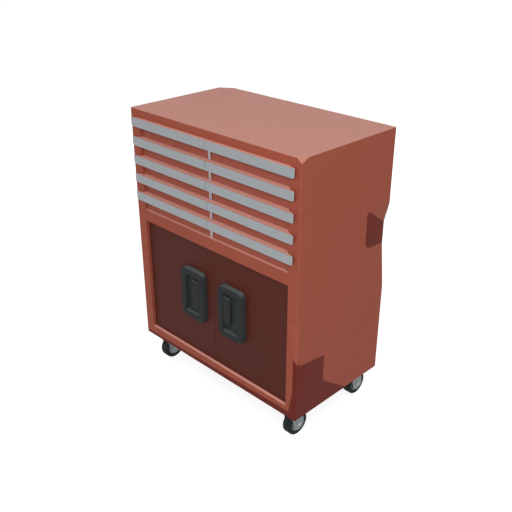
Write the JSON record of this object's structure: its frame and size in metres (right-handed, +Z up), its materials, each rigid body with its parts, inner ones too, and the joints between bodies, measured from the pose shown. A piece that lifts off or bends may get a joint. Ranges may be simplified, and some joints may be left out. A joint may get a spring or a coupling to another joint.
{
  "type": "tool cabinet",
  "caption": "Rolling steel tool cabinet: pull-out drawers over a cupboard with hinged doors, recessed paddle handles, a corner guard and swivel casters.",
  "frame": {"origin": "on the floor, in the middle of the cabinet's footprint", "axes": "+Z up, the drawers and doors face -Y, +X to the right of someone facing the doors"},
  "size_m": [0.7862, 0.4572, 1.0193],
  "materials": {
    "body_red": "powder coat, fine orange peel",
    "door_maroon": "powder coat, satin",
    "guard_red": "powder coat, satin",
    "pull_grey": "satin anodised, brushed lengthwise",
    "mullion_grey": "satin anodised",
    "slide_zinc": "zinc plated",
    "latch_zinc": "zinc plated",
    "caster_zinc": "zinc plated, dull",
    "screw_zinc": "zinc plated",
    "handle_black": "moulded, fine spark texture",
    "hub_grey": "moulded",
    "tyre_black": "matt solid rubber"
  },
  "bodies": {
    "cabinet": {"top_panel": "body_red", "back_panel": "body_red", "back_panel_screws": "screw_zinc", "base_pan": "guard_red", "caster_channels": "guard_red", "front_frame": "body_red", "center_mullion": "mullion_grey", "center_divider": "body_red", "mid_deck": "body_red", "slide_uprights": "slide_zinc", "cabinet_slide_rails": "slide_zinc", "corner_guard": "guard_red", "grip_pads": "guard_red", "hinge_pins": "latch_zinc", "latch_strikes": "latch_zinc", "caster_bolts": "screw_zinc", "caster_plates": "caster_zinc", "left_side_panel": "body_red", "right_side_panel": "body_red"},
    "drawer_left_1": {"drawer_left_1_tray": "body_red", "drawer_left_1_pull": "pull_grey"},
    "drawer_left_2": {"drawer_left_2_tray": "body_red", "drawer_left_2_pull": "pull_grey"},
    "drawer_left_3": {"drawer_left_3_tray": "body_red", "drawer_left_3_pull": "pull_grey"},
    "drawer_left_4": {"drawer_left_4_tray": "body_red", "drawer_left_4_pull": "pull_grey"},
    "drawer_left_5": {"drawer_left_5_tray": "body_red", "drawer_left_5_pull": "pull_grey"},
    "door_left": {"left_door": "door_maroon", "left_handle_housing": "handle_black"},
    "paddle_left": {"left_handle_paddle": "handle_black"},
    "bolt_left": {"left_latch_bolt": "latch_zinc"},
    "drawer_right_1": {"drawer_right_1_tray": "body_red", "drawer_right_1_pull": "pull_grey"},
    "drawer_right_2": {"drawer_right_2_tray": "body_red", "drawer_right_2_pull": "pull_grey"},
    "drawer_right_3": {"drawer_right_3_tray": "body_red", "drawer_right_3_pull": "pull_grey"},
    "drawer_right_4": {"drawer_right_4_tray": "body_red", "drawer_right_4_pull": "pull_grey"},
    "drawer_right_5": {"drawer_right_5_tray": "body_red", "drawer_right_5_pull": "pull_grey"},
    "door_right": {"right_door": "door_maroon", "right_handle_housing": "handle_black"},
    "paddle_right": {"right_handle_paddle": "handle_black"},
    "bolt_right": {"right_latch_bolt": "latch_zinc"},
    "caster_front_left": {"front_left_caster_fork": "caster_zinc"},
    "wheel_front_left": {"front_left_wheel_hub": "hub_grey", "front_left_wheel_tyre": "tyre_black"},
    "caster_front_right": {"front_right_caster_fork": "caster_zinc"},
    "wheel_front_right": {"front_right_wheel_hub": "hub_grey", "front_right_wheel_tyre": "tyre_black"},
    "caster_rear_left": {"rear_left_caster_fork": "caster_zinc"},
    "wheel_rear_left": {"rear_left_wheel_hub": "hub_grey", "rear_left_wheel_tyre": "tyre_black"},
    "caster_rear_right": {"rear_right_caster_fork": "caster_zinc"},
    "wheel_rear_right": {"rear_right_wheel_hub": "hub_grey", "rear_right_wheel_tyre": "tyre_black"}
  },
  "joints": [
    {"name": "drawer_left_1_slide", "type": "slide", "parent": "cabinet", "child": "drawer_left_1", "axis": [0, -1, 0], "range_m": [0, 0.3]},
    {"name": "drawer_left_2_slide", "type": "slide", "parent": "cabinet", "child": "drawer_left_2", "axis": [0, -1, 0], "range_m": [0, 0.3]},
    {"name": "drawer_left_3_slide", "type": "slide", "parent": "cabinet", "child": "drawer_left_3", "axis": [0, -1, 0], "range_m": [0, 0.3]},
    {"name": "drawer_left_4_slide", "type": "slide", "parent": "cabinet", "child": "drawer_left_4", "axis": [0, -1, 0], "range_m": [0, 0.3]},
    {"name": "drawer_left_5_slide", "type": "slide", "parent": "cabinet", "child": "drawer_left_5", "axis": [0, -1, 0], "range_m": [0, 0.3]},
    {"name": "door_left_hinge", "type": "hinge", "parent": "cabinet", "child": "door_left", "pos_m": [-0.338, -0.1995, 0.1613], "axis": [0, 0, -1], "range_deg": [0, 105]},
    {"name": "paddle_left_pivot", "type": "hinge", "parent": "door_left", "child": "paddle_left", "pos_m": [-0.0802, -0.2198, 0.45317], "axis": [-1, 0, 0], "range_deg": [0, 18], "stiffness_Nm_per_rad": 0.4, "springref_deg": -17.19},
    {"name": "bolt_left_slide", "type": "slide", "parent": "door_left", "child": "bolt_left", "axis": [0, 0, -1], "range_m": [0, 0.0066]},
    {"name": "drawer_right_1_slide", "type": "slide", "parent": "cabinet", "child": "drawer_right_1", "axis": [0, -1, 0], "range_m": [0, 0.3]},
    {"name": "drawer_right_2_slide", "type": "slide", "parent": "cabinet", "child": "drawer_right_2", "axis": [0, -1, 0], "range_m": [0, 0.3]},
    {"name": "drawer_right_3_slide", "type": "slide", "parent": "cabinet", "child": "drawer_right_3", "axis": [0, -1, 0], "range_m": [0, 0.3]},
    {"name": "drawer_right_4_slide", "type": "slide", "parent": "cabinet", "child": "drawer_right_4", "axis": [0, -1, 0], "range_m": [0, 0.3]},
    {"name": "drawer_right_5_slide", "type": "slide", "parent": "cabinet", "child": "drawer_right_5", "axis": [0, -1, 0], "range_m": [0, 0.3]},
    {"name": "door_right_hinge", "type": "hinge", "parent": "cabinet", "child": "door_right", "pos_m": [0.338, -0.1995, 0.1613], "axis": [0, 0, 1], "range_deg": [0, 105]},
    {"name": "paddle_right_pivot", "type": "hinge", "parent": "door_right", "child": "paddle_right", "pos_m": [0.0802, -0.2198, 0.45317], "axis": [-1, 0, 0], "range_deg": [0, 18], "stiffness_Nm_per_rad": 0.4, "springref_deg": -17.19},
    {"name": "bolt_right_slide", "type": "slide", "parent": "door_right", "child": "bolt_right", "axis": [0, 0, -1], "range_m": [0, 0.0066]},
    {"name": "caster_front_left_swivel", "type": "hinge", "parent": "cabinet", "child": "caster_front_left", "pos_m": [-0.332, -0.157, 0.1193], "axis": [0, 0, 1], "continuous": true},
    {"name": "wheel_front_left_roll", "type": "hinge", "parent": "caster_front_left", "child": "wheel_front_left", "pos_m": [-0.332, -0.145, 0.045], "axis": [1, 0, 0], "continuous": true},
    {"name": "caster_front_right_swivel", "type": "hinge", "parent": "cabinet", "child": "caster_front_right", "pos_m": [0.332, -0.157, 0.1193], "axis": [0, 0, 1], "continuous": true},
    {"name": "wheel_front_right_roll", "type": "hinge", "parent": "caster_front_right", "child": "wheel_front_right", "pos_m": [0.332, -0.145, 0.045], "axis": [1, 0, 0], "continuous": true},
    {"name": "caster_rear_left_swivel", "type": "hinge", "parent": "cabinet", "child": "caster_rear_left", "pos_m": [-0.332, 0.168, 0.1193], "axis": [0, 0, 1], "continuous": true},
    {"name": "wheel_rear_left_roll", "type": "hinge", "parent": "caster_rear_left", "child": "wheel_rear_left", "pos_m": [-0.332, 0.18, 0.045], "axis": [1, 0, 0], "continuous": true},
    {"name": "caster_rear_right_swivel", "type": "hinge", "parent": "cabinet", "child": "caster_rear_right", "pos_m": [0.332, 0.168, 0.1193], "axis": [0, 0, 1], "continuous": true},
    {"name": "wheel_rear_right_roll", "type": "hinge", "parent": "caster_rear_right", "child": "wheel_rear_right", "pos_m": [0.332, 0.18, 0.045], "axis": [1, 0, 0], "continuous": true}
  ],
  "couplings": [
    {"joint": "bolt_left_slide", "follows": "paddle_left_pivot", "m_per_rad": 0.0208},
    {"joint": "bolt_right_slide", "follows": "paddle_right_pivot", "m_per_rad": 0.0208}
  ]
}
